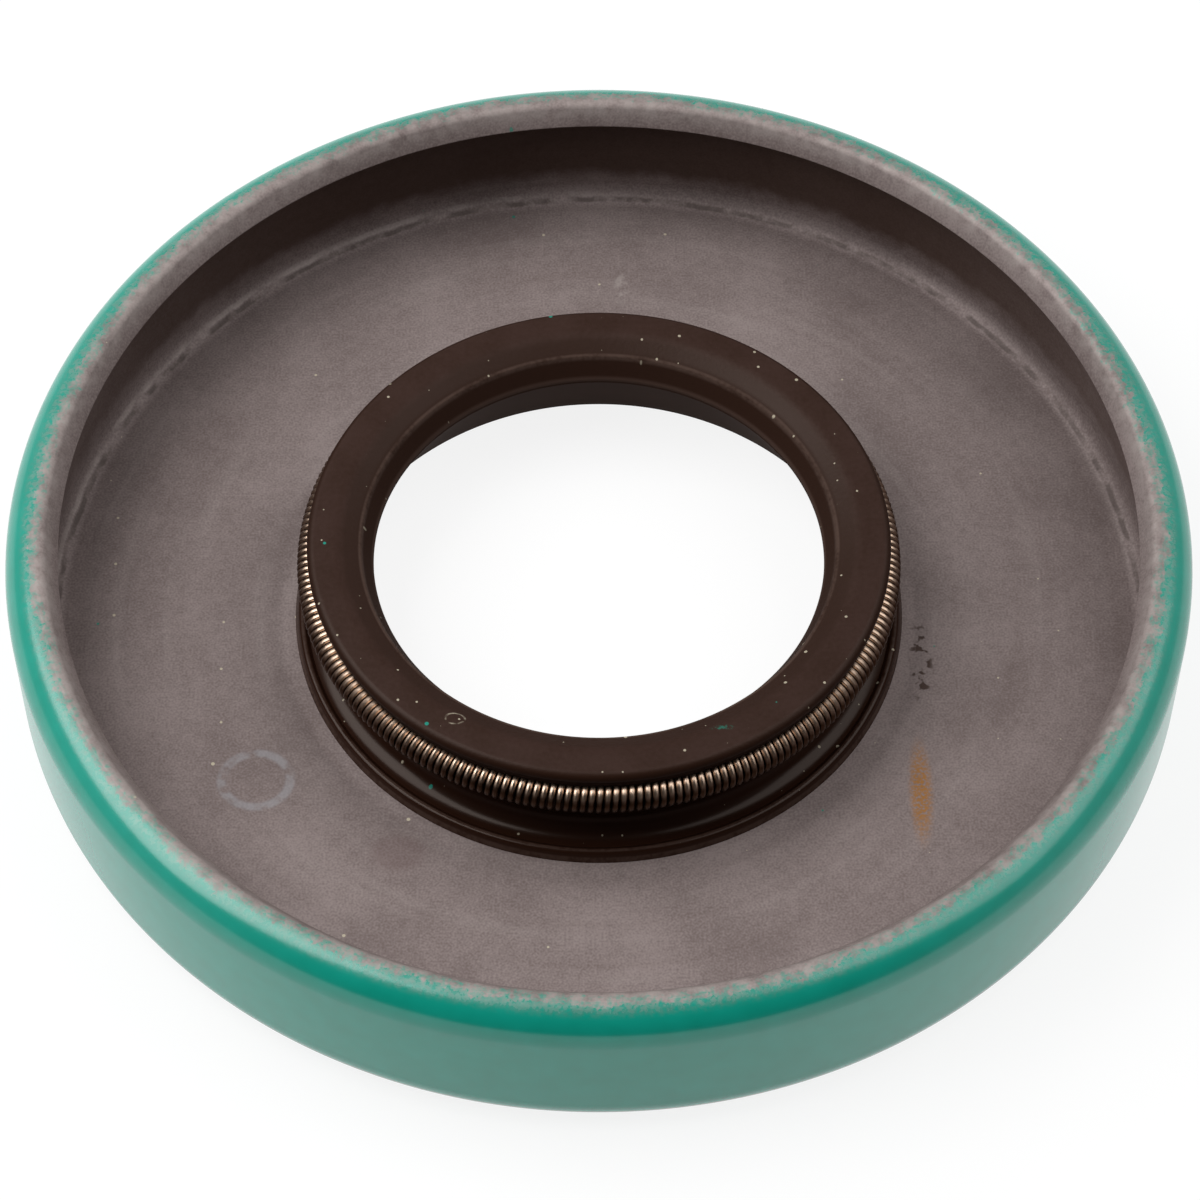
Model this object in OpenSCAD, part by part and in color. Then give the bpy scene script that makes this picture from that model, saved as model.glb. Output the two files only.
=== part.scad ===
// Grease seal: a drawn steel case with a coated rim, a moulded rubber lip and a garter spring.
// Every piece is round about +Z. The air side is down, at z = 0, and the grease side is up.

/* [Steel case] */
// Outside diameter of the bare steel
case_d = 47.6; // [44:0.1:54]
// Thickness of the sheet in the floor and the lower wall
sheet_t = 1; // [0.7:0.05:1.3]
// Thickness of the sheet at the rim, where drawing has thickened it
rim_t = 1.1; // [0.8:0.05:1.3]
// Height at which the wall begins to turn in
wall_h = 6; // [5.7:0.05:9]
// Outside radius of the bend from the floor to the wall
floor_bend_r = 1.8; // [1.5:0.05:2.6]
// Outside radius of the bend at the rim
rim_bend_r = 1.4; // [1.35:0.05:1.9]
// Angle through which the rim turns in from the wall
rim_turn = 73; // [55:1:85]
// Straight length of the rim beyond its bend, on the outside
rim_straight = 0.55; // [0.3:0.05:1.2]
// How much further the inside of the rim reaches than the outside, because the edge is sheared at a slant
rim_slant = 0.3; // [0:0.05:0.5]
// Radius of the crest, between the straight part of the rim and the sheared edge
crest_r = 0.45; // [0.1:0.05:0.45]
// Width of the ring that the mould pressed into the floor beside the rubber
mould_ring_w = 0.4; // [0.2:0.05:0.8]
// Depth of that ring
mould_ring_depth = 0.04; // [0.02:0.01:0.15]

/* [Coating] */
// Thickness of the sealing coat on the outside of the case
coat_t = 0.05; // [0.03:0.01:0.15]
// How far the coat reaches in along the straight part of the rim
coat_lap = 0.2; // [0.05:0.05:0.2]
// Angle down the floor bend that the coat reaches
coat_under = 63; // [18:9:81]

/* [Rubber lip] */
// Diameter of the free lip, which the shaft stretches
lip_d = 18.3; // [16:0.05:22]
// Height of the lip above the air side
lip_h = 4.5; // [4:0.05:5]
// Width of the band that touches the shaft
lip_band = 0.2; // [0.1:0.05:0.4]
// How far the opening on the air side lies outside the lip
air_out = 2.37; // [2:0.01:2.8]
// Thickness of the rubber inside the hole in the floor
foot_t = 0.48; // [0.3:0.01:0.7]
// How far the inner edge of the head lies outside the lip
throat_out = 0.47; // [0.3:0.01:0.7]
// How far that edge lies below the flat top
throat_drop = 0.45; // [0.2:0.05:0.6]
// Width of the slope from that edge to the flat top
bevel_w = 0.88; // [0.5:0.02:1]
// Thickness of the rubber over the spring's groove
head_over = 0.83; // [0.7:0.01:1.4]
// How far the outside of the head lies outside the lip
head_out = 2.65; // [2.3:0.05:2.8]
// Radius of the head's outer edge
head_edge_r = 0.33; // [0.2:0.01:0.45]
// Radius of the hollow between the neck and the heel
hollow_r = 0.95; // [0.7:0.05:1.05]
// Height of the bottom of the hollow above the floor
hollow_rise = 0.33; // [0.2:0.01:0.4]
// Radius of the bead round the heel
bead_r = 0.18; // [0.1:0.01:0.2]
// Height of the bead above the floor
bead_rise = 0.46; // [0.4:0.01:0.75]
// Distance from the edge of the heel in to the middle of the bead
bead_inset = 0.31; // [0.28:0.01:0.4]
// Width of the rubber that is bonded to the top of the floor
heel_w = 0.53; // [0.5:0.01:1]

/* [Garter spring] */
// Outside diameter of the coil
coil_d = 1.44; // [1.2:0.02:1.6]
// Diameter of the wire
wire_d = 0.26; // [0.2:0.01:0.27]
// How far the middle of the coil lies outside the lip
ring_out = 2.41; // [2.2:0.01:2.5]
// Height of the ring above the air side
ring_h = 4.42; // [4.2:0.01:4.6]
// Turns of wire round the ring
turns = 240; // [120:1:260]
// Gap between the coil and its groove
groove_gap = 0.03; // [0.01:0.01:0.06]

/* [Hidden] */
$fn = 96;

// Radii from the axis: the rubber is laid out from the lip, and the hole in the floor from the rubber
case_r = case_d / 2;
lip_r = lip_d / 2;
air_r = lip_r + air_out;
floor_hole_r = air_r + foot_t;
heel_r = floor_hole_r + heel_w;
throat_r = lip_r + throat_out;
ring_r = lip_r + ring_out;

// Steps of the round stretches in the sections
bend_steps = 10;
fine_steps = 6;
groove_steps = 18;

// Points of an arc about a centre, from one angle to another
function arc(centre, r, from, to, steps) =
    [for (i = [0:steps]) let (a = from + (to - from) * i / steps) centre + r * [cos(a), sin(a)]];

// A point at an angle and radius from a centre
function polar(centre, r, a) = centre + r * [cos(a), sin(a)];

// Direction in which the rim points past its bend
rim_way = [-sin(rim_turn), cos(rim_turn)];

// Centres of the case's bends
floor_bend = [case_r - floor_bend_r, floor_bend_r];
floor_fillet_r = floor_bend_r - sheet_t;
rim_bend = [case_r - rim_bend_r, wall_h];
rim_fillet_r = rim_bend_r - rim_t;

// Outer and inner corner of the rim's sheared edge, before the crest is rounded
rim_crest = polar(rim_bend, rim_bend_r, rim_turn) + rim_straight * rim_way;
rim_lower = polar(rim_bend, rim_fillet_r, rim_turn) + (rim_straight + rim_slant) * rim_way;

// The crest's arc touches the straight part of the rim and the sheared edge
edge_way = (rim_lower - rim_crest) / norm(rim_lower - rim_crest);
edge_turn = atan2(-edge_way[0], edge_way[1]);
crest_half = acos(-rim_way * edge_way) / 2;
crest_in = (edge_way - rim_way) / norm(edge_way - rim_way);
crest_centre = rim_crest + crest_r / sin(crest_half) * crest_in;

// The ring that the mould presses into the floor lies its own width away from the rubber
mould_ring_r = heel_r + mould_ring_w + mould_ring_w / 2;

function case_section() = concat(
    [[floor_hole_r, 0]],
    arc(floor_bend, floor_bend_r, -90, 0, bend_steps),
    arc(rim_bend, rim_bend_r, 0, rim_turn, bend_steps),
    arc(crest_centre, crest_r, rim_turn, edge_turn, fine_steps),
    [rim_lower],
    arc(rim_bend, rim_fillet_r, rim_turn, 0, fine_steps),
    arc(floor_bend, floor_fillet_r, 0, -90, fine_steps),
    [[mould_ring_r + mould_ring_w / 2, sheet_t],
     [mould_ring_r, sheet_t - mould_ring_depth],
     [mould_ring_r - mould_ring_w / 2, sheet_t],
     [floor_hole_r, sheet_t]]);

// The coat follows the outside of the case from the floor bend to the rim, on the same points
coat_bend_steps = floor(coat_under * bend_steps / 90);
coat_from = -90 * coat_bend_steps / bend_steps;

function coat_section() = concat(
    arc(floor_bend, floor_bend_r + coat_t, coat_from, 0, coat_bend_steps),
    arc(rim_bend, rim_bend_r + coat_t, 0, rim_turn, bend_steps),
    [polar(rim_bend, rim_bend_r + coat_t, rim_turn) + coat_lap * rim_way,
     polar(rim_bend, rim_bend_r, rim_turn) + coat_lap * rim_way],
    arc(rim_bend, rim_bend_r, rim_turn, 0, bend_steps),
    arc(floor_bend, floor_bend_r, 0, coat_from, coat_bend_steps));

module outer_case() {
    color("#8a7f7c")
        rotate_extrude()
            polygon(case_section());
}

module od_coating() {
    color("#23806f")
        rotate_extrude()
            polygon(coat_section());
}

// The groove holds the inner half of the coil, so the spring snaps in from outside
ring_centre = [ring_r, ring_h];
groove_r = coil_d / 2 + groove_gap;
groove_top = 83;
groove_bottom = 250;

// The edge over the spring curls under by this angle before it runs back into the groove
head_h = ring_h + groove_r + head_over;
head_curl = 28;
head_edge = [lip_r + head_out - head_edge_r, head_h - head_edge_r];

// The hollow runs down from the neck, is lowest over the edge of the hole, and ends at the bead on the heel
hollow = [floor_hole_r, sheet_t + hollow_rise + hollow_r];
bead = [heel_r - bead_inset, sheet_t + bead_rise - bead_r];
bead_from = 25;
bead_to = 140;

function rubber_section() = concat(
    [[air_r, 0],
     [floor_hole_r, 0],
     [floor_hole_r, sheet_t],
     [heel_r, sheet_t]],
    arc(bead, bead_r, bead_from, bead_to, fine_steps),
    arc(hollow, hollow_r, 270, 180, bend_steps),
    arc(ring_centre, groove_r, groove_bottom, groove_top, groove_steps),
    arc(head_edge, head_edge_r, -head_curl, 90, fine_steps),
    [[throat_r + bevel_w, head_h],
     [throat_r, head_h - throat_drop],
     [lip_r, lip_h + lip_band / 2],
     [lip_r, lip_h - lip_band / 2]]);

module sealing_element() {
    color("#3a2f2d")
        rotate_extrude()
            polygon(rubber_section());
}

// The wire runs round the coil while the coil runs round the ring, and its end meets its start.
// Its section is a square with the area of the round wire and its flats against the next turn.
steps_per_turn = 6;
wire_sides = 4;
wire_steps = turns * steps_per_turn;
wire_corner_r = wire_d / 2 * sqrt(PI / 2);
helix_r = (coil_d - wire_d) / 2;

// Ways out from the axis and out from the middle of the coil at a step
function axis_way(s) = let (a = 360 * s / wire_steps) [cos(a), sin(a), 0];
function coil_way(s) = let (a = 360 * s / steps_per_turn) cos(a) * axis_way(s) + sin(a) * [0, 0, 1];

// Middle of the wire at a step, and the way that the wire runs there
function wire_mid(s) = ring_r * axis_way(s) + [0, 0, ring_h] + helix_r * coil_way(s);
function wire_way(s) = let (chord = wire_mid(s + 0.5) - wire_mid(s - 0.5)) chord / norm(chord);

// A corner of the wire's section at a step
function wire_corner(s, k) =
    let (a = 360 * (k + 0.5) / wire_sides, side = cross(wire_way(s), coil_way(s)))
    wire_mid(s) + wire_corner_r * (cos(a) * coil_way(s) + sin(a) * side / norm(side));

wire_points = [for (s = [0:wire_steps - 1]) for (k = [0:wire_sides - 1]) wire_corner(s, k)];

// Two triangles on each side of each step
function wire_index(s, k) = (s % wire_steps) * wire_sides + k % wire_sides;
wire_faces = [for (s = [0:wire_steps - 1]) for (k = [0:wire_sides - 1]) for (half = [0, 1])
    half == 0
        ? [wire_index(s, k), wire_index(s, k + 1), wire_index(s + 1, k + 1)]
        : [wire_index(s, k), wire_index(s + 1, k + 1), wire_index(s + 1, k)]];

module garter_spring() {
    color("#a8977f")
        polyhedron(wire_points, wire_faces);
}

outer_case();
od_coating();
sealing_element();
garter_spring();
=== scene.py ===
import math

import bpy
import numpy as np
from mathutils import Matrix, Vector


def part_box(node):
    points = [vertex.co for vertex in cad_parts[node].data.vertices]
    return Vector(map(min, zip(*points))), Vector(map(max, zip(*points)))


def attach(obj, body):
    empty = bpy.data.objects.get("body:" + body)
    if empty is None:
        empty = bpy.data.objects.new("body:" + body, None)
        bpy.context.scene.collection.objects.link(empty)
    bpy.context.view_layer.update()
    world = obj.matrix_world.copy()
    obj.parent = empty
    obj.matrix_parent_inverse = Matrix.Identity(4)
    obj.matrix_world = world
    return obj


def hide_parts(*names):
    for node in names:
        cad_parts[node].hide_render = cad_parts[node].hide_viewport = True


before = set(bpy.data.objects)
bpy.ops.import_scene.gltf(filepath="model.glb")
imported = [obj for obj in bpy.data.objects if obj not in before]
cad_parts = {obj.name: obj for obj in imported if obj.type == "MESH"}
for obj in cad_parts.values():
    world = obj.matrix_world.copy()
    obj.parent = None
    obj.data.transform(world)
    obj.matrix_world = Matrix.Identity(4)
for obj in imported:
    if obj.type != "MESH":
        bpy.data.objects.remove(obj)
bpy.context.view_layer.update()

# Sizes are in millimetres, as in the part's source, and turn into metres where a thing is made
MM = 0.001

# Steel case
CASE_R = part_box("outer_case")[1].x / MM
SHEET_T = 1.0
RIM_T = 1.1
WALL_H = 6.0
FLOOR_BEND_R = 1.8
RIM_BEND_R = 1.4
RIM_TURN = math.radians(73)
RIM_STRAIGHT = 0.55
RIM_SLANT = 0.3
CREST_R = 0.45
BURR_R = 0.05
MOULD_RING_W = 0.4
MOULD_RING_DEPTH = 0.03

# Coat, with the angles in degrees at which it ends under the floor bend and on the crest
COAT_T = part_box("od_coating")[1].x / MM - CASE_R
COAT_CREST_T = COAT_T / 4
COAT_UNDER = -63
COAT_TOP = 80

# Rubber, laid out from the lip
LIP_R = 9.15
LIP_H = 4.5
LIP_BAND = 0.2
AIR_R = LIP_R + 2.37
FLOOR_HOLE_R = AIR_R + 0.48
HEEL_R = FLOOR_HOLE_R + 0.53
THROAT_R = LIP_R + 0.47
THROAT_DROP = 0.45
BEVEL_W = 0.88
HEAD_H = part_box("sealing_element")[1].z / MM
HEAD_R = LIP_R + 2.65
HEAD_EDGE_R = 0.33
HOLLOW_R = 0.95
HOLLOW_RISE = 0.33
BEAD_R = 0.18
BEAD_RISE = 0.46
BEAD_INSET = 0.31

# Roundings of the rubber's inner corners
FLAT_ROUND = 1.2
THROAT_ROUND = 0.12
LIP_ROUND = 0.05

# Angles in degrees at which the arcs of the rubber's section start and end
BEAD_START = 25
BEAD_END = 140
HOLLOW_START = 270
HOLLOW_END = 180
GROOVE_START = 250
GROOVE_END = 83
HEAD_EDGE_START = -28
HEAD_EDGE_END = 90

# Garter spring
COIL_R = 0.72
WIRE_R = 0.13
RING_R = LIP_R + 2.41
RING_H = 4.42
TURNS = 240
GROOVE_R = COIL_R + 0.03

# Fineness of the meshes
LATHE_STEPS = 540
ARC_STEP = math.radians(5)
COIL_STEPS = 18
WIRE_SIDES = 10
SHARP_ANGLE = math.radians(28)

# The photograph's camera, fitted to the outline of the seal in the 1200 pixel image
IMAGE = 1200
CAMERA_ELEVATION = math.radians(54.29)
CAMERA_DISTANCE = 165.04
FOCAL = 3970
ORIGIN_PX = (598.9, 620.4)
SENSOR_W = 36
CLIP_NEAR = 10
CLIP_FAR = 10000

# Marks on the floor of the case: pixels of the photograph, and half sizes across and along
RING_MARK_PX = (256, 780)
RING_MARK_HALF = (1.5, 1.4)
RED_SPOT_PX = (398, 853)
RED_SPOT_HALF = (1.25, 0.95)
RUST_PX = (921, 792)
RUST_HALF = (0.6, 3.0)
DIRT_PX = (921, 662)
DIRT_HALF = (0.6, 2.7)
STREAK_PX = (621, 285)
STREAK_HALF = (0.45, 1.6)

# Marks on the head of the rubber, in the same way
LINT_CURL_PX = (455, 718)
LINT_CURL_HALF = (0.4, 0.28)
GREEN_SMEAR_PX = (722, 727)
GREEN_SMEAR_HALF = (0.55, 0.16)


def on_plane(pixel, height):
    """The point at a height that the photograph shows at a pixel."""
    lean = math.cos(CAMERA_ELEVATION)
    rise = math.sin(CAMERA_ELEVATION)
    up = (ORIGIN_PX[1] - pixel[1]) / FOCAL
    y = (up * (CAMERA_DISTANCE - rise * height) - lean * height) / (rise - lean * up)
    depth = CAMERA_DISTANCE + lean * y - rise * height
    return (pixel[0] - ORIGIN_PX[0]) * depth / FOCAL, y


# Sections and meshes

def polar(centre, radius, angle):
    """A point at an angle in radians and a radius from a centre."""
    return np.array(centre) + radius * np.array((math.cos(angle), math.sin(angle)))


def arc(centre, radius, start, end):
    """Points of an arc about a centre, from one angle in degrees to another."""
    angles = np.radians((start, end))
    steps = max(2, math.ceil(abs(angles[1] - angles[0]) / ARC_STEP))
    return [polar(centre, radius, a) for a in np.linspace(*angles, steps + 1)]


def unit(vector):
    """The vector of length 1 with the same direction."""
    return vector / np.linalg.norm(vector)


def rounding_centre(before, corner, after, radius):
    """Centre of the arc that rounds a corner between its two neighbours."""
    back = unit(np.subtract(before, corner))
    on = unit(np.subtract(after, corner))
    half = math.acos(np.clip(back @ on, -1, 1)) / 2
    return np.array(corner) + unit(back + on) * radius / math.sin(half)


def rounded(before, corner, after, radius):
    """Points of the arc that rounds a corner between its two neighbours."""
    centre = rounding_centre(before, corner, after, radius)
    back = unit(np.subtract(before, corner))
    on = unit(np.subtract(after, corner))
    first = np.array(corner) + back * ((centre - corner) @ back) - centre
    last = np.array(corner) + on * ((centre - corner) @ on) - centre
    turn = math.acos(np.clip(unit(first) @ unit(last), -1, 1))
    steps = max(2, math.ceil(turn / ARC_STEP))
    return [
        centre + (math.sin((1 - t) * turn) * first + math.sin(t * turn) * last) / math.sin(turn)
        for t in np.linspace(0, 1, steps + 1)
    ]


def outline(corners):
    """A closed section from corners (r, z, rounding radius), sharp where the radius is 0."""
    points = []
    for i, (r, z, radius) in enumerate(corners):
        before = corners[i - 1][:2]
        after = corners[(i + 1) % len(corners)][:2]
        points += rounded(before, (r, z), after, radius) if radius else [np.array((r, z))]
    return points


def new_piece(name, points, faces):
    """A smooth mesh with sharp edges where the surface breaks, riding on the part's one body."""
    mesh = bpy.data.meshes.new(name)
    mesh.from_pydata((np.asarray(points) * MM).tolist(), [], faces)
    mesh.shade_smooth()
    mesh.set_sharp_from_angle(angle=SHARP_ANGLE)
    piece = bpy.data.objects.new(name, mesh)
    bpy.context.scene.collection.objects.link(piece)
    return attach(piece, "root")


def quads(rows, columns):
    """Faces of a grid that closes on itself both ways."""
    return [
        (
            i * columns + j,
            (i + 1) % rows * columns + j,
            (i + 1) % rows * columns + (j + 1) % columns,
            i * columns + (j + 1) % columns,
        )
        for i in range(rows)
        for j in range(columns)
    ]


def lathe(name, section):
    """A closed section turned round the axis."""
    section = np.array(section)
    angles = np.linspace(0, 2 * math.pi, LATHE_STEPS, endpoint=False)
    ways = np.stack((np.cos(angles), np.sin(angles)), axis=1)
    flat = ways[:, None, :] * section[None, :, :1]
    heights = np.broadcast_to(section[:, 1], (LATHE_STEPS, len(section)))
    points = np.concatenate((flat, heights[:, :, None]), axis=2).reshape(-1, 3)
    return new_piece(name, points, quads(LATHE_STEPS, len(section)))


# Steel case and its coat

floor_bend = (CASE_R - FLOOR_BEND_R, FLOOR_BEND_R)
rim_bend = (CASE_R - RIM_BEND_R, WALL_H)
rim_fillet_r = RIM_BEND_R - RIM_T
rim_way = np.array((-math.sin(RIM_TURN), math.cos(RIM_TURN)))
rim_start = polar(rim_bend, RIM_BEND_R, RIM_TURN)
rim_crest = rim_start + RIM_STRAIGHT * rim_way
rim_lower = polar(rim_bend, rim_fillet_r, RIM_TURN) + (RIM_STRAIGHT + RIM_SLANT) * rim_way
bend_reach = math.tan(RIM_TURN / 2)
mould_ring_r = HEEL_R + MOULD_RING_W + MOULD_RING_W / 2


def make_case():
    """The drawn cup: floor, wall and inturned rim, with the mould's ring pressed into its floor."""
    return lathe("case_shell", outline([
        (FLOOR_HOLE_R, 0, 0),
        (CASE_R, 0, FLOOR_BEND_R),
        (CASE_R, WALL_H + RIM_BEND_R * bend_reach, RIM_BEND_R),
        (*rim_crest, CREST_R),
        (*rim_lower, BURR_R),
        (CASE_R - RIM_T, WALL_H + rim_fillet_r * bend_reach, rim_fillet_r),
        (CASE_R - SHEET_T, SHEET_T, FLOOR_BEND_R - SHEET_T),
        (mould_ring_r + MOULD_RING_W / 2, SHEET_T, 0),
        (mould_ring_r, SHEET_T - MOULD_RING_DEPTH, 0),
        (mould_ring_r - MOULD_RING_W / 2, SHEET_T, 0),
        (FLOOR_HOLE_R, SHEET_T, 0),
    ]))


def make_coat():
    """The coat thins out on the crest, where its finish is worn through to the steel."""
    turn = math.degrees(RIM_TURN)
    crest = rounding_centre(rim_start, rim_crest, rim_lower, CREST_R)
    return lathe("coat_skin", [
        *arc(floor_bend, FLOOR_BEND_R + COAT_T, COAT_UNDER, 0),
        *arc(rim_bend, RIM_BEND_R + COAT_T, 0, turn),
        polar(crest, CREST_R + COAT_CREST_T, RIM_TURN),
        *arc(crest, CREST_R, COAT_TOP, turn),
        *arc(rim_bend, RIM_BEND_R, turn, 0),
        *arc(floor_bend, FLOOR_BEND_R, 0, COAT_UNDER),
    ])


# Rubber

def make_rubber():
    """The moulding: foot, heel with its bead, hollow, spring groove, head, throat and lip."""
    head_edge = (HEAD_R - HEAD_EDGE_R, HEAD_H - HEAD_EDGE_R)
    hollow = (FLOOR_HOLE_R, SHEET_T + HOLLOW_RISE + HOLLOW_R)
    bead = (HEEL_R - BEAD_INSET, SHEET_T + BEAD_RISE - BEAD_R)
    flat = (THROAT_R + BEVEL_W, HEAD_H)
    throat = (THROAT_R, HEAD_H - THROAT_DROP)
    lip_top = (LIP_R, LIP_H + LIP_BAND / 2)
    lip_foot = (LIP_R, LIP_H - LIP_BAND / 2)
    return lathe("lip_ring", [
        (AIR_R, 0),
        (FLOOR_HOLE_R, 0),
        (FLOOR_HOLE_R, SHEET_T),
        (HEEL_R, SHEET_T),
        *arc(bead, BEAD_R, BEAD_START, BEAD_END),
        *arc(hollow, HOLLOW_R, HOLLOW_START, HOLLOW_END),
        *arc((RING_R, RING_H), GROOVE_R, GROOVE_START, GROOVE_END),
        *arc(head_edge, HEAD_EDGE_R, HEAD_EDGE_START, HEAD_EDGE_END),
        *rounded((head_edge[0], HEAD_H), flat, throat, FLAT_ROUND),
        *rounded(flat, throat, lip_top, THROAT_ROUND),
        *rounded(throat, lip_top, lip_foot, LIP_ROUND),
        lip_foot,
    ])


# Garter spring

def make_spring():
    """One closed wire that winds round the coil while the coil runs round the ring."""
    count = TURNS * COIL_STEPS
    steps = np.arange(count)
    round_ring = 2 * math.pi * steps / count
    round_coil = 2 * math.pi * steps / COIL_STEPS
    up = np.array((0, 0, 1))
    axis_way = np.stack((np.cos(round_ring), np.sin(round_ring), 0 * round_ring), axis=1)
    coil_way = np.cos(round_coil)[:, None] * axis_way + np.sin(round_coil)[:, None] * up
    middle = RING_R * axis_way + RING_H * up + (COIL_R - WIRE_R) * coil_way
    along = np.roll(middle, -1, axis=0) - np.roll(middle, 1, axis=0)
    side = np.cross(along, coil_way)
    side /= np.linalg.norm(side, axis=1)[:, None]
    angles = 2 * math.pi * np.arange(WIRE_SIDES) / WIRE_SIDES
    out = np.cos(angles)[None, :, None] * coil_way[:, None, :]
    across = np.sin(angles)[None, :, None] * side[:, None, :]
    points = middle[:, None, :] + WIRE_R * (out + across)
    return new_piece("spring_wire", points.reshape(-1, 3), quads(count, WIRE_SIDES))


# Materials

# Heights of a face's normal between which specks fade in, and the share of a speck that is soft
SPECK_SLOPE = (0.3, 0.6)
SPECK_SOFT = 0.3

# The middle of a noise between 0 and 1
NOISE_MID = 0.5


class Finish:
    """A Principled material and short calls that add nodes to it. Places on the part are in millimetres."""

    def __init__(self, name):
        self.material = bpy.data.materials.new(name)
        self.material.use_nodes = True
        self.tree = self.material.node_tree
        self.shader = self.tree.nodes["Principled BSDF"]
        coords = self.add("ShaderNodeTexCoord")
        scaled = self.add("ShaderNodeVectorMath", operation="SCALE")
        self.feed(scaled.inputs["Vector"], coords.outputs["Object"])
        scaled.inputs["Scale"].default_value = 1 / MM
        self.place = scaled.outputs["Vector"]
        self.x, self.y, self.z = self.split(self.place)
        self.r = self.math("SQRT", self.plus(self.times(self.x, self.x), self.times(self.y, self.y)))
        self.facing_up = self.split(self.add("ShaderNodeNewGeometry").outputs["Normal"])[2]

    def add(self, kind, **settings):
        """A new node with these settings."""
        node = self.tree.nodes.new(kind)
        for name, value in settings.items():
            setattr(node, name, value)
        return node

    def feed(self, socket, value):
        """Links a socket to another, or sets its value."""
        if isinstance(value, bpy.types.NodeSocket):
            self.tree.links.new(value, socket)
        else:
            socket.default_value = value

    def split(self, vector):
        """The three parts of a vector."""
        node = self.add("ShaderNodeSeparateXYZ")
        self.feed(node.inputs[0], vector)
        return tuple(node.outputs)

    def join(self, x, y, z):
        """A vector from its three parts."""
        node = self.add("ShaderNodeCombineXYZ")
        for socket, value in zip(node.inputs, (x, y, z)):
            self.feed(socket, value)
        return node.outputs[0]

    def math(self, operation, *values):
        """One step of arithmetic on sockets or numbers."""
        node = self.add("ShaderNodeMath", operation=operation)
        for socket, value in zip(node.inputs, values):
            self.feed(socket, value)
        return node.outputs[0]

    def plus(self, first, *others):
        """The sum of several values."""
        for other in others:
            first = self.math("ADD", first, other)
        return first

    def minus(self, first, second):
        """The first value less the second."""
        return self.math("SUBTRACT", first, second)

    def times(self, first, *others):
        """The product of several values."""
        for other in others:
            first = self.math("MULTIPLY", first, other)
        return first

    def most(self, first, second):
        """The larger of two values."""
        return self.math("MAXIMUM", first, second)

    def rises(self, value, low, high, top=1.0):
        """0 below low, top above high, and smooth between them."""
        node = self.add("ShaderNodeMapRange", interpolation_type="SMOOTHSTEP")
        self.feed(node.inputs["Value"], value)
        node.inputs["From Min"].default_value = low
        node.inputs["From Max"].default_value = high
        node.inputs["To Max"].default_value = top
        return node.outputs["Result"]

    def falls(self, value, low, high):
        """1 below low, 0 above high, and smooth between them."""
        return self.minus(1.0, self.rises(value, low, high))

    def band(self, value, low, high, soft):
        """1 between low and high, fading over a soft width outside."""
        return self.times(self.rises(value, low - soft, low), self.falls(value, high, high + soft))

    def noise(self, scale, detail, place=None):
        """Noise between 0 and 1, with about this many waves to each unit of its place."""
        node = self.add("ShaderNodeTexNoise")
        self.feed(node.inputs["Vector"], place or self.place)
        node.inputs["Scale"].default_value = scale
        node.inputs["Detail"].default_value = detail
        return node.outputs[0]

    def patches(self, scale, detail, low, high):
        """Patches of noise: 0 where it is below low, 1 where it is above high."""
        return self.rises(self.noise(scale, detail), low, high)

    def specks(self, cell, size, share):
        """Round specks up to a size, in this share of the cells, on faces that look up."""
        cells = self.add("ShaderNodeTexVoronoi", voronoi_dimensions="2D")
        self.feed(cells.inputs["Vector"], self.place)
        cells.inputs["Scale"].default_value = 1 / cell
        chance, bulk, _ = self.split(cells.outputs["Color"])
        inside = self.minus(self.times(bulk, size / cell), cells.outputs["Distance"])
        near = self.rises(inside, 0, SPECK_SOFT * size / cell)
        chosen = self.math("LESS_THAN", chance, share)
        return self.times(near, chosen, self.rises(self.facing_up, *SPECK_SLOPE))

    def around(self, pixel, height, half_sizes):
        """Distance from a place in the photograph, as 1 on the edge of an ellipse with these half sizes."""
        off = self.add("ShaderNodeVectorMath", operation="SUBTRACT")
        self.feed(off.inputs[0], self.join(self.x, self.y, 0.0))
        off.inputs[1].default_value = (*on_plane(pixel, height), 0)
        fitted = self.add("ShaderNodeVectorMath", operation="MULTIPLY")
        self.feed(fitted.inputs[0], off.outputs[0])
        fitted.inputs[1].default_value = (1 / half_sizes[0], 1 / half_sizes[1], 0)
        length = self.add("ShaderNodeVectorMath", operation="LENGTH")
        self.feed(length.inputs[0], fitted.outputs[0])
        return length.outputs["Value"]

    def blot(self, pixel, height, half_sizes, solid, edge=1.0):
        """A mark at a place in the photograph: 1 on its solid middle, 0 past its edge."""
        return self.falls(self.around(pixel, height, half_sizes), solid, edge)

    def mix(self, share, first, second):
        """A blend of two colours, each a socket or three linear values."""
        node = self.add("ShaderNodeMix", data_type="RGBA")
        self.feed(node.inputs[0], share)
        for socket, colour in zip(node.inputs[6:8], (first, second)):
            self.feed(socket, (*colour, 1) if isinstance(colour, tuple) else colour)
        return node.outputs[2]

    def lay(self, under, over, *shares):
        """One colour laid over another, as thickly as the product of some shares."""
        return self.mix(self.times(*shares), under, over)

    def blend(self, share, first, second):
        """A blend of two numbers."""
        node = self.add("ShaderNodeMix")
        self.feed(node.inputs[0], share)
        self.feed(node.inputs[2], first)
        self.feed(node.inputs[3], second)
        return node.outputs[0]

    def relief(self, height, depth):
        """A fine relief of this depth from a height between 0 and 1."""
        node = self.add("ShaderNodeBump")
        node.inputs["Distance"].default_value = depth * MM
        self.feed(node.inputs["Height"], height)
        self.feed(self.shader.inputs["Normal"], node.outputs["Normal"])


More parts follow.
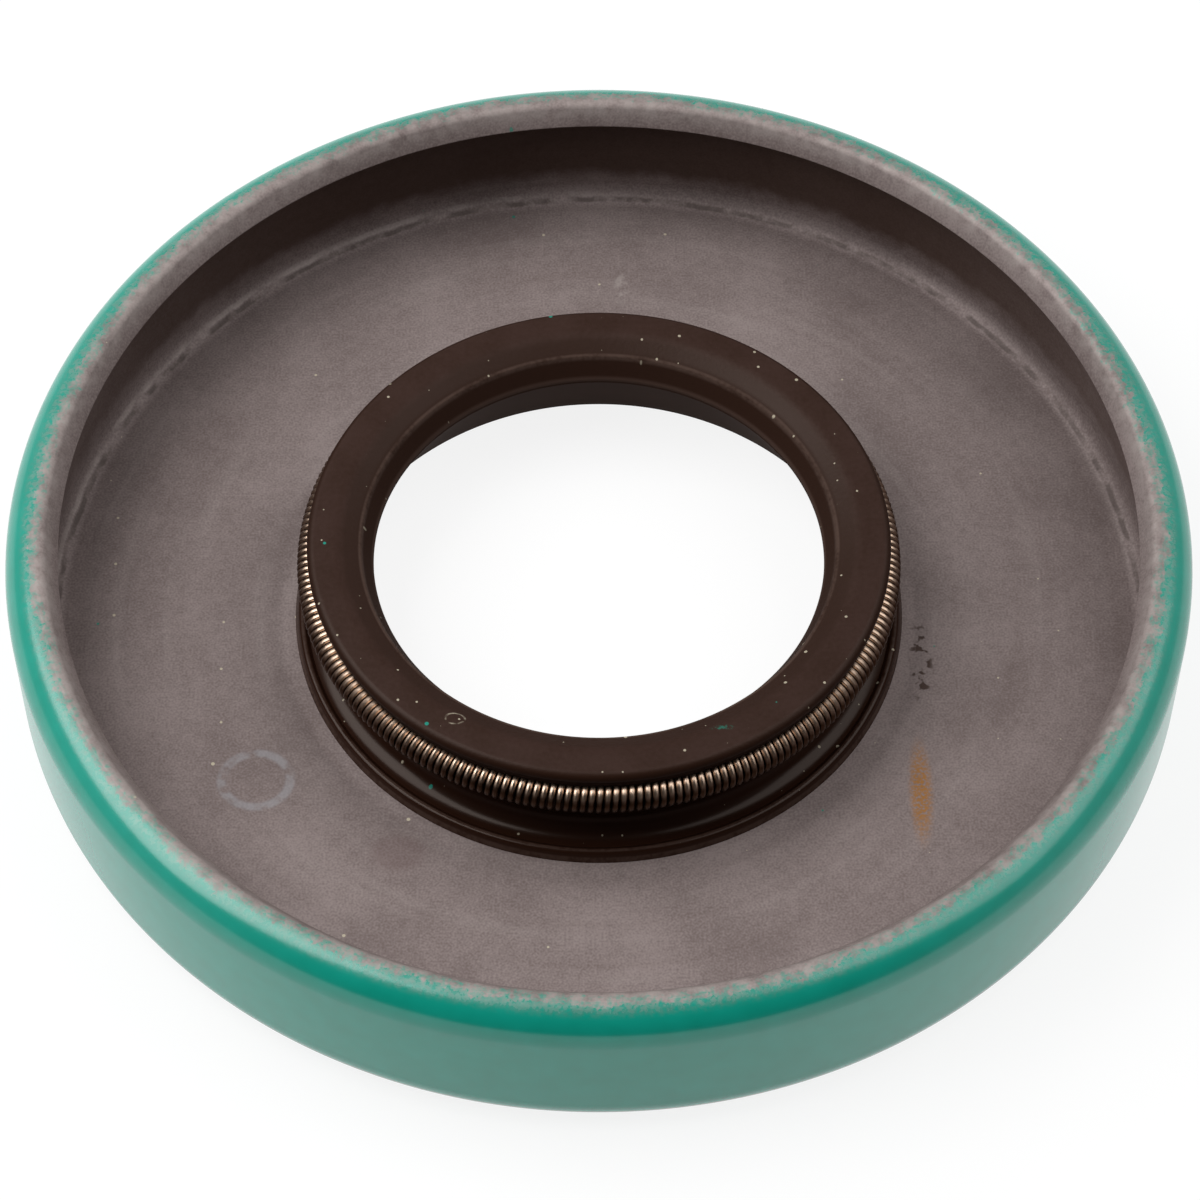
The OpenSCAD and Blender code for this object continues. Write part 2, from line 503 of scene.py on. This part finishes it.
# Linear colours
STEEL_DARK = (0.165, 0.127, 0.12)
STEEL_LIGHT = (0.285, 0.231, 0.221)
# Pale steel for scuffs, streaks and light rings, and for the painted highlight on the ridge at the foot of
# the wall
STEEL_SCUFF_AND_HIGHLIGHT = (0.43, 0.377, 0.354)
# Dark brown for the dark rings on the sheet, and for painted shade inside the wall under the rim
RING_AND_SHADE_BROWN = (0.058, 0.028, 0.017)
# Painted shade in the crease at the foot of the wall
CREASE_SHADE = (0.06, 0.043, 0.037)
MARK_PALE = (0.32, 0.31, 0.325)
SPOT_RED = (0.154, 0.10, 0.096)
RUST = (0.34, 0.15, 0.035)
DIRT = (0.046, 0.023, 0.015)
DUST = (0.54, 0.48, 0.36)
GREEN_DARK = (0.0013, 0.26, 0.186)
GREEN_LIGHT = (0.0035, 0.315, 0.236)
RUBBER_DARK = (0.023, 0.009, 0.005)
# Painted sheen on the flat top of the head
RUBBER_TOP_SHEEN = (0.034, 0.016, 0.012)
# Painted highlights along the edges of the throat, the lip and the heel
RUBBER_EDGE_HIGHLIGHT = (0.077, 0.048, 0.038)
RUBBER_GLOSS = (1.0, 0.86, 0.78)
# Painted shade on the lower part of the coils
WIRE_SHADED = (0.085, 0.045, 0.025)
WIRE_LIGHT = (0.53, 0.39, 0.295)

# How thickly each mark covers what is under it
STREAK_SHARE = 0.5
RING_MARK_SHARE = 0.6
RED_SPOT_SHARE = 0.35
RUST_SHARE = 0.95
DIRT_SHARE = 0.9
CREASE_SHADE_SHARE = 0.7
RIDGE_HIGHLIGHT_SHARE = 0.35
CREST_SHARE = 0.65
CASE_DUST_SHARE = 0.9
CASE_GREEN_SHARE = 0.8
THROAT_HIGHLIGHT_SHARE = 0.75
LIP_HIGHLIGHT_SHARE = 0.5
HEEL_HIGHLIGHT_SHARE = 0.6
RUBBER_DUST_SHARE = 0.7
RUBBER_GREEN_SHARE = 0.7
SMEAR_SHARE = 0.35
LINT_SHARE = 0.6


# Finish of the case and its coat

# Weight of each noise in the tone of the sheet, and of the light and dark rings on it
CLOUDS = 0.5
GRAIN = 0.22
SAND = 0.42
LIGHT_RINGS = 0.13
DARK_RINGS = 0.1

# Levels of the noise at which a ring is lightest and darkest
RING_LIGHTEST = 0.8
RING_DARKEST = 0.2

# Painted shade in the crease and painted highlight on the ridge at the foot of the wall: radii, soft widths,
# and how far their ragged line strays
CREASE_R = 22.39
CREASE_BAND = (CREASE_R - 0.06, CREASE_R + 0.04)
CREASE_SOFT = 0.1
RIDGE_R = 22.57
RIDGE_BAND = (RIDGE_R - 0.02, RIDGE_R + 0.08)
RIDGE_SOFT = 0.05
RIDGE_END_X = (-8, 4)
FOOT_H = (SHEET_T + 0.3, SHEET_T + 0.5)
STRAY = 0.25

# Radii and heights between which the steel changes from its inside to its outside
INSIDE_R = (CASE_R - 0.8, CASE_R - 0.7)
OUTSIDE_R = (CASE_R - 0.7, CASE_R - 0.6)
OUTSIDE_H = (6.85, 6.95)

# Heights between which the painted shade inside the wall begins and ends, and the crest is scuffed
SHADE_FOOT_H = (2.2, 3.4)
SHADE_TOP_H = (6.5, 6.7)
CREST_H = (6.6, 7.3)

# Share of painted brown shade on the inside of the wall: all round, and added at the back
SHADE_ROUND = 0.35
SHADE_BACK = 0.5
SHADE_BACK_Y = (2, 20)

# Edge of the coat, as a distance past the end of the rim's bend, and how far wear moves it
COAT_EDGE = 0.17
WIDE_WEAR = 0.7
PATCH_WEAR = 0.7
FINE_WEAR = 0.5
WEAR_MEAN = NOISE_MID * (WIDE_WEAR + PATCH_WEAR + FINE_WEAR)
BACK_WEAR = 0.12
BACK_WEAR_Y = (10, 23)
EDGE_FADE = (-0.07, 0.1)

# The coat is thin on the last of the bend, and a broken haze of it is left past its edge
THIN_REACH = (-0.5, 0.1)
THIN = 0.5
WORN_W = 0.3
WORN_FADE = (-0.1, 0.1)
HAZE = 0.75

# Shader values
STEEL_METALLIC = 0.35
STEEL_ROUGHNESS = (0.5, 0.7)
STEEL_SPECULAR = 0.25
COAT_ROUGHNESS = 0.2
COAT_SPECULAR = 0.5
CASE_IOR = 1.6


def floor_marks(f, colour):
    """The marks that lie on the floor of the case, over its colour."""
    blotch = f.noise(scale=1.9, detail=2)
    streak = f.blot(STREAK_PX, SHEET_T, STREAK_HALF, solid=0.2)
    colour = f.lay(colour, STEEL_SCUFF_AND_HIGHLIGHT, streak, f.rises(blotch, low=0.42, high=0.62), STREAK_SHARE)
    ring = f.band(f.around(RING_MARK_PX, SHEET_T, RING_MARK_HALF), low=0.85, high=0.98, soft=0.12)
    colour = f.lay(colour, MARK_PALE, ring, f.rises(blotch, low=0.3, high=0.6), RING_MARK_SHARE)
    spot = f.blot(RED_SPOT_PX, SHEET_T, RED_SPOT_HALF, solid=0.6, edge=1.1)
    colour = f.lay(colour, SPOT_RED, spot, RED_SPOT_SHARE)
    rust = f.blot(RUST_PX, SHEET_T, RUST_HALF, solid=0.3)
    flecks = f.patches(scale=8, detail=2, low=0.3, high=0.6)
    colour = f.lay(colour, RUST, rust, flecks, RUST_SHARE)
    dirt = f.blot(DIRT_PX, SHEET_T, DIRT_HALF, solid=0.5)
    crumbs = f.patches(scale=2.1, detail=2, low=0.55, high=0.63)
    return f.lay(colour, DIRT, dirt, crumbs, DIRT_SHARE)


def sheet_colour(f):
    """Warm grey sheet with clouds, grain and faint rings from the drawing tool."""
    clouds = f.times(f.noise(scale=0.22, detail=3), CLOUDS)
    grain = f.times(f.noise(scale=2.6, detail=3), GRAIN)
    sand = f.times(f.noise(scale=11, detail=0), SAND)
    tone = f.plus(clouds, grain, sand)
    colour = f.mix(f.rises(tone, low=0.34, high=0.8), STEEL_DARK, STEEL_LIGHT)
    way_x = f.math("DIVIDE", f.x, f.r)
    way_y = f.math("DIVIDE", f.y, f.r)
    rings = f.noise(scale=1.6, detail=3, place=f.join(way_x, way_y, f.plus(f.r, f.z)))
    light = f.rises(rings, NOISE_MID, RING_LIGHTEST, LIGHT_RINGS)
    dark = f.rises(rings, NOISE_MID, RING_DARKEST, DARK_RINGS)
    return f.mix(dark, f.mix(light, colour, STEEL_SCUFF_AND_HIGHLIGHT), RING_AND_SHADE_BROWN)


def foot_marks(f, ragged, colour):
    """Painted shade along a broken crease at the foot of the wall, and a painted highlight on the ridge
    outside it on the left.
    """
    radius = f.plus(f.r, f.times(f.minus(ragged, NOISE_MID), STRAY))
    low = f.falls(f.z, *FOOT_H)
    crease_shade = f.band(radius, *CREASE_BAND, CREASE_SOFT)
    creased = f.rises(ragged, low=0.35, high=0.6)
    colour = f.lay(colour, CREASE_SHADE, crease_shade, low, creased, CREASE_SHADE_SHARE)
    ridge_highlight = f.times(f.band(radius, *RIDGE_BAND, RIDGE_SOFT), f.rises(ragged, low=0.3, high=0.6))
    return f.lay(colour, STEEL_SCUFF_AND_HIGHLIGHT, ridge_highlight, low, f.falls(f.x, *RIDGE_END_X), RIDGE_HIGHLIGHT_SHARE)


def wall_marks(f, ragged, colour):
    """Painted shade in dark brown inside the wall, from a ragged foot up to the rim and heaviest at the back,
    and the scuffed crest.
    """
    inside = f.times(f.rises(f.r, CREASE_R, RIDGE_R), f.falls(f.r, *INSIDE_R))
    foot = f.rises(f.plus(f.z, ragged), *SHADE_FOOT_H)
    painted_shade = f.plus(SHADE_ROUND, f.rises(f.y, *SHADE_BACK_Y, SHADE_BACK))
    colour = f.lay(colour, RING_AND_SHADE_BROWN, inside, foot, f.falls(f.z, *SHADE_TOP_H), painted_shade)
    scuffs = f.patches(scale=1.6, detail=3, low=0.2, high=0.75)
    return f.lay(colour, STEEL_SCUFF_AND_HIGHLIGHT, f.rises(f.z, *CREST_H), scuffs, CREST_SHARE)


def steel_colour(f):
    """The sheet, the marks on it, dust and a few green specks."""
    ragged = f.noise(scale=0.9, detail=3)
    colour = floor_marks(f, sheet_colour(f))
    colour = wall_marks(f, ragged, foot_marks(f, ragged, colour))
    colour = f.lay(colour, DUST, f.specks(cell=2.6, size=0.09, share=0.3), CASE_DUST_SHARE)
    return f.lay(colour, GREEN_DARK, f.specks(cell=4.3, size=0.09, share=0.25), CASE_GREEN_SHARE)


def coat_edge(f):
    """How far the coat reaches past the end of the rim's bend: ragged, and less at the back."""
    wide = f.times(f.noise(scale=0.3, detail=1), WIDE_WEAR)
    patches = f.times(f.noise(scale=2.2, detail=2), PATCH_WEAR)
    fine = f.times(f.noise(scale=9, detail=1), FINE_WEAR)
    edge = f.plus(wide, patches, fine, COAT_EDGE - WEAR_MEAN)
    return f.minus(edge, f.rises(f.y, *BACK_WEAR_Y, BACK_WEAR))


def coat_share(f):
    """Where the coat is left: outside, up to a ragged edge that runs round the rim near its crest."""
    turned = f.math("ARCTAN2", f.minus(f.z, WALL_H), f.minus(f.r, rim_bend[0]))
    reach = f.times(f.minus(turned, RIM_TURN), RIM_BEND_R)
    edge = coat_edge(f)
    gaps = f.patches(scale=5, detail=2, low=0.25, high=0.75)
    thin = f.times(f.rises(reach, *THIN_REACH), gaps, THIN)
    left = f.times(f.rises(f.minus(edge, reach), *EDGE_FADE), f.minus(1.0, thin))
    worn = f.rises(f.minus(f.plus(edge, WORN_W), reach), *WORN_FADE)
    haze = f.times(worn, f.patches(scale=6, detail=2, low=0.35, high=0.8), HAZE)
    outside = f.most(f.rises(f.r, *OUTSIDE_R), f.rises(f.z, *OUTSIDE_H))
    return f.times(f.most(left, haze), outside)


def case_finish(name, specular):
    """Bare steel, and the green coat where it is left. The case and its coat share this, so no seam shows."""
    f = Finish(name)
    share = coat_share(f)
    green = f.mix(f.noise(scale=0.9, detail=1), GREEN_DARK, GREEN_LIGHT)
    bare = f.blend(f.noise(scale=3, detail=1), *STEEL_ROUGHNESS)
    f.feed(f.shader.inputs["Base Color"], f.mix(share, steel_colour(f), green))
    f.feed(f.shader.inputs["Metallic"], f.blend(share, STEEL_METALLIC, 0.0))
    f.feed(f.shader.inputs["Roughness"], f.blend(share, bare, COAT_ROUGHNESS))
    f.shader.inputs["Specular IOR Level"].default_value = specular
    f.shader.inputs["IOR"].default_value = CASE_IOR
    return f.material


# Finish of the rubber

# Radii and heights between which highlights are painted along the edges, with soft widths
THROAT_H = HEAD_H - THROAT_DROP
THROAT_BAND = (THROAT_R - 0.02, THROAT_R + 0.06)
THROAT_SOFT = 0.09
THROAT_HIGHLIGHT_H = (THROAT_H - 0.35, THROAT_H - 0.15)
LIP_HIGHLIGHT_R = (LIP_R + 0.02, LIP_R + 0.1)
LIP_HIGHLIGHT_H = (LIP_H - 0.05, LIP_H + 0.05)
BEAD_MID_R = HEEL_R - BEAD_INSET
BEAD_BAND = (BEAD_MID_R - 0.03, BEAD_MID_R + 0.03)
BEAD_SOFT = 0.06
HEEL_BAND = (HEEL_R - 0.08, HEEL_R - 0.03)
HEEL_SOFT = 0.04
BEAD_TOP_H = SHEET_T + BEAD_RISE
HEEL_HIGHLIGHT_H = (BEAD_TOP_H + 0.1, BEAD_TOP_H + 0.2)

# Where the head begins, where the bore ends, and heights of the normal on the flat top and on undersides
HEAD_FOOT_H = (HEAD_H - 0.7, HEAD_H - 0.6)
BORE_R = (THROAT_R - 0.15, THROAT_R + 0.3)
TOP_SLOPE = (0.85, 0.98)
UNDER_SLOPE = (-0.2, 0.0)

# Weight of the wide and the fine noise in the mottle that breaks up the painted sheen and the other marks on
# the rubber
WIDE_MOTTLE = 0.6
FINE_MOTTLE = 0.4

# Shader values
HOLLOW_ROUGHNESS = 0.2
HEAD_ROUGHNESS = 0.45
BORE_ROUGHNESS = 1.0
RUBBER_SPECULAR = 0.18
RUBBER_RELIEF = 0.008


def painted_edge_highlights(f, mottle, colour):
    """Painted highlights along the edge of the throat, the lip, and the bead and edge of the heel."""
    throat = f.times(f.band(f.r, *THROAT_BAND, THROAT_SOFT), f.rises(f.z, *THROAT_HIGHLIGHT_H))
    colour = f.lay(colour, RUBBER_EDGE_HIGHLIGHT, throat, f.rises(mottle, low=0.2, high=0.6), THROAT_HIGHLIGHT_SHARE)
    lip = f.times(f.falls(f.r, *LIP_HIGHLIGHT_R), f.rises(f.z, *LIP_HIGHLIGHT_H))
    colour = f.lay(colour, RUBBER_EDGE_HIGHLIGHT, lip, LIP_HIGHLIGHT_SHARE)
    bead = f.band(f.r, *BEAD_BAND, BEAD_SOFT)
    edge = f.band(f.r, *HEEL_BAND, HEEL_SOFT)
    heel = f.times(f.most(bead, edge), f.falls(f.z, *HEEL_HIGHLIGHT_H))
    return f.lay(colour, RUBBER_EDGE_HIGHLIGHT, heel, f.rises(mottle, low=0.3, high=0.6), HEEL_HIGHLIGHT_SHARE)


def rubber_dirt(f, mottle, top, colour):
    """Dust, green specks, a green smear and a curl of lint."""
    colour = f.lay(colour, DUST, f.specks(cell=0.8, size=0.078, share=0.3), RUBBER_DUST_SHARE)
    colour = f.lay(colour, GREEN_LIGHT, f.specks(cell=2.3, size=0.1, share=0.2), RUBBER_GREEN_SHARE)
    smear = f.blot(GREEN_SMEAR_PX, HEAD_H, GREEN_SMEAR_HALF, solid=0.5)
    flecks = f.patches(scale=8, detail=1, low=0.4, high=0.65)
    colour = f.lay(colour, GREEN_DARK, smear, top, flecks, SMEAR_SHARE)
    curl = f.band(f.around(LINT_CURL_PX, HEAD_H, LINT_CURL_HALF), low=0.9, high=1.0, soft=0.1)
    return f.lay(colour, DUST, curl, top, f.rises(mottle, low=0.4, high=0.6), LINT_SHARE)


def rubber_colour(f, head):
    """Brown-black rubber with a patchy painted sheen on its flat top, painted highlights along its edges, and
    dirt.
    """
    wide = f.times(f.noise(scale=0.5, detail=2), WIDE_MOTTLE)
    fine = f.times(f.noise(scale=5, detail=1), FINE_MOTTLE)
    mottle = f.plus(wide, fine)
    # Painted sheen: faces on the head that look up are made lighter, in patches
    top = f.times(f.rises(f.facing_up, *TOP_SLOPE), head)
    colour = f.lay(RUBBER_DARK, RUBBER_TOP_SHEEN, top, f.rises(mottle, low=0.2, high=0.7))
    return rubber_dirt(f, mottle, top, painted_edge_highlights(f, mottle, colour))


def rubber_finish():
    """Satin on the head, glossy in the hollow round it and dull in the bore."""
    f = Finish("lip_rubber")
    head = f.rises(f.z, *HEAD_FOOT_H)
    bore = f.most(f.falls(f.r, *BORE_R), f.falls(f.facing_up, *UNDER_SLOPE))
    outside = f.blend(head, HOLLOW_ROUGHNESS, HEAD_ROUGHNESS)
    f.feed(f.shader.inputs["Base Color"], rubber_colour(f, head))
    f.feed(f.shader.inputs["Roughness"], f.blend(bore, outside, BORE_ROUGHNESS))
    f.shader.inputs["Specular IOR Level"].default_value = RUBBER_SPECULAR
    f.shader.inputs["Specular Tint"].default_value = (*RUBBER_GLOSS, 1)
    f.relief(f.times(f.noise(scale=6, detail=1), head), RUBBER_RELIEF)
    return f.material


# Finish of the spring

# Heights between which the wire comes out of the painted shade, and how far that line strays
UNSHADED_H = (RING_H + 0.2, RING_H + 0.5)
UNSHADED_STRAY = 0.15
WIRE_METALLIC = 1.0
WIRE_ROUGHNESS = 0.3


def spring_finish():
    """Bright wire on top, darkened lower down by painted shade."""
    f = Finish("spring_steel")
    stray = f.times(f.minus(f.noise(scale=1.1, detail=1), NOISE_MID), UNSHADED_STRAY)
    unshaded = f.rises(f.plus(f.z, stray), *UNSHADED_H)
    f.feed(f.shader.inputs["Base Color"], f.mix(unshaded, WIRE_SHADED, WIRE_LIGHT))
    f.shader.inputs["Metallic"].default_value = WIRE_METALLIC
    f.shader.inputs["Roughness"].default_value = WIRE_ROUGHNESS
    return f.material


# Studio: a white floor, a bright tent with a dark opening on the camera's side, and a soft lamp on each side

FLOOR_SIZE = 4000
FLOOR_DROP = 0.02
FLOOR_LIT = 0.85
FLOOR_SHADED = 0.15
FLOOR_GLOW = 0.86
ROOM_LEVEL = 0.55
DARK_LEVEL = 0.04
DARK_WAY = (0, -0.9, 0.44)
DARK_EDGE = (0.25, 0.85)
LAMP_SIZE = 130
LEFT_LAMP_PLACE = (-90, 5, 130)
LEFT_LAMP_RADIANCE = 4.0
RIGHT_LAMP_PLACE = (90, 5, 130)
RIGHT_LAMP_RADIANCE = 1.6


def diffuse(tree, level):
    """A matt grey of this level."""
    node = tree.nodes.new("ShaderNodeBsdfDiffuse")
    node.inputs["Color"].default_value = (level, level, level, 1)
    return node.outputs[0]


def either(tree, first, second):
    """The larger of two values."""
    node = tree.nodes.new("ShaderNodeMath")
    node.operation = "MAXIMUM"
    tree.links.new(first, node.inputs[0])
    tree.links.new(second, node.inputs[1])
    return node.outputs[0]


def floor_finish():
    """White to the camera and in reflections, lit by the studio otherwise, with the seal's shadow on it."""
    material = bpy.data.materials.new("floor_white")
    material.use_nodes = True
    tree = material.node_tree
    tree.nodes.clear()
    glow = tree.nodes.new("ShaderNodeEmission")
    glow.inputs["Strength"].default_value = FLOOR_GLOW
    white = tree.nodes.new("ShaderNodeAddShader")
    tree.links.new(diffuse(tree, FLOOR_SHADED), white.inputs[0])
    tree.links.new(glow.outputs[0], white.inputs[1])
    path = tree.nodes.new("ShaderNodeLightPath").outputs
    mirrored = either(tree, path["Is Glossy Ray"], path["Is Transmission Ray"])
    choice = tree.nodes.new("ShaderNodeMixShader")
    tree.links.new(either(tree, path["Is Camera Ray"], mirrored), choice.inputs[0])
    tree.links.new(diffuse(tree, FLOOR_LIT), choice.inputs[1])
    tree.links.new(white.outputs[0], choice.inputs[2])
    output = tree.nodes.new("ShaderNodeOutputMaterial")
    tree.links.new(choice.outputs[0], output.inputs["Surface"])
    return material


def make_floor():
    """A wide plane just under the seal."""
    bpy.ops.mesh.primitive_plane_add(size=FLOOR_SIZE * MM, location=(0, 0, -FLOOR_DROP * MM))
    floor = bpy.context.object
    floor.name = "floor"
    floor.data.materials.append(floor_finish())


def make_world():
    """Bright all round, but for the opening in front."""
    world = bpy.data.worlds.new("studio")
    bpy.context.scene.world = world
    world.use_nodes = True
    tree = world.node_tree
    tree.nodes.clear()
    coords = tree.nodes.new("ShaderNodeTexCoord")
    towards = tree.nodes.new("ShaderNodeVectorMath")
    towards.operation = "DOT_PRODUCT"
    tree.links.new(coords.outputs["Generated"], towards.inputs[0])
    towards.inputs[1].default_value = DARK_WAY
    tent = tree.nodes.new("ShaderNodeMapRange")
    tent.interpolation_type = "SMOOTHSTEP"
    tree.links.new(towards.outputs["Value"], tent.inputs["Value"])
    tent.inputs["From Min"].default_value = DARK_EDGE[0]
    tent.inputs["From Max"].default_value = DARK_EDGE[1]
    tent.inputs["To Min"].default_value = ROOM_LEVEL
    tent.inputs["To Max"].default_value = DARK_LEVEL
    light = tree.nodes.new("ShaderNodeBackground")
    tree.links.new(tent.outputs["Result"], light.inputs["Strength"])
    output = tree.nodes.new("ShaderNodeOutputWorld")
    tree.links.new(light.outputs[0], output.inputs["Surface"])


def look_from(thing, place):
    """Puts a camera or lamp at a place, looking at the part's origin."""
    thing.location = Vector(place) * MM
    thing.rotation_euler = (-thing.location).to_track_quat("-Z", "Y").to_euler()
    bpy.context.scene.collection.objects.link(thing)


def make_lamp(name, place, radiance):
    """A square lamp with this radiance on its face."""
    data = bpy.data.lights.new(name, "AREA")
    data.shape = "SQUARE"
    data.size = LAMP_SIZE * MM
    data.energy = radiance * math.pi * data.size**2
    look_from(bpy.data.objects.new(name, data), place)


def make_camera():
    """The photograph's camera. Its shift puts the part's origin on the pixel where the photograph has it."""
    data = bpy.data.cameras.new("camera")
    camera = bpy.data.objects.new("camera", data)
    lean = math.cos(CAMERA_ELEVATION)
    rise = math.sin(CAMERA_ELEVATION)
    look_from(camera, (0, -CAMERA_DISTANCE * lean, CAMERA_DISTANCE * rise))
    data.sensor_width = SENSOR_W
    data.lens = data.sensor_width * FOCAL / IMAGE
    data.shift_x = (IMAGE / 2 - ORIGIN_PX[0]) / IMAGE
    data.shift_y = (ORIGIN_PX[1] - IMAGE / 2) / IMAGE
    data.clip_start = CLIP_NEAR * MM
    data.clip_end = CLIP_FAR * MM
    bpy.context.scene.camera = camera


def dress(piece, node, material):
    """A piece stands for a CAD node, which it hides, and takes the finish it is given."""
    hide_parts(node)
    piece.data.materials.append(material)


dress(make_case(), "outer_case", case_finish("case_steel", STEEL_SPECULAR))
dress(make_coat(), "od_coating", case_finish("green_coat", COAT_SPECULAR))
dress(make_rubber(), "sealing_element", rubber_finish())
dress(make_spring(), "garter_spring", spring_finish())
make_floor()
make_world()
make_lamp("softbox_left", LEFT_LAMP_PLACE, LEFT_LAMP_RADIANCE)
make_lamp("softbox_right", RIGHT_LAMP_PLACE, RIGHT_LAMP_RADIANCE)
make_camera()
bpy.context.scene.view_settings.view_transform = "Standard"
